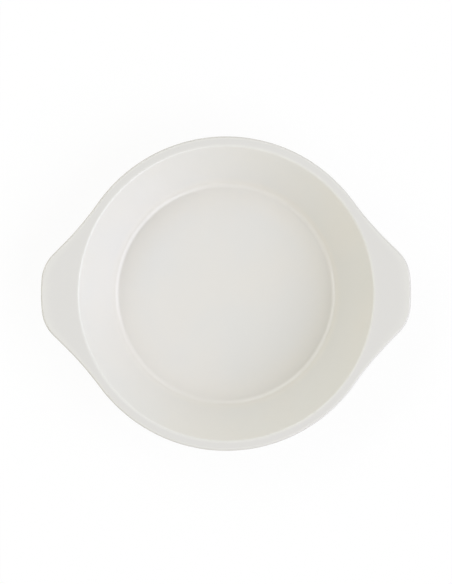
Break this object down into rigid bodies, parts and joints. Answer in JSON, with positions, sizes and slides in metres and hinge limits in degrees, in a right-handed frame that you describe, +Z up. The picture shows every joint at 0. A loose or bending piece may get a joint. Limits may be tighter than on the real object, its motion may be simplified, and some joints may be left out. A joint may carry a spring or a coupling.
{
  "type": "gratin dish",
  "caption": "Shallow round ceramic baking dish with sloping walls, a flat narrow rim and flat ear handles running out of the rim, glazed pale cream, standing on a low bare foot ring.",
  "frame": {"origin": "on the table, under the middle of the dish, at the level of the foot ring's standing face", "axes": "+X from ear to ear, +Y across the plain rim, +Z up out of the mouth"},
  "size_m": [0.2824, 0.24, 0.048],
  "materials": {
    "stoneware": "bare fired clay, matt and slightly gritty",
    "glaze": "glossy off-white fired glaze"
  },
  "bodies": {
    "root": {"stoneware_body": "stoneware", "glaze_coat": "glaze", "base_glaze": "glaze"}
  },
  "joints": []
}
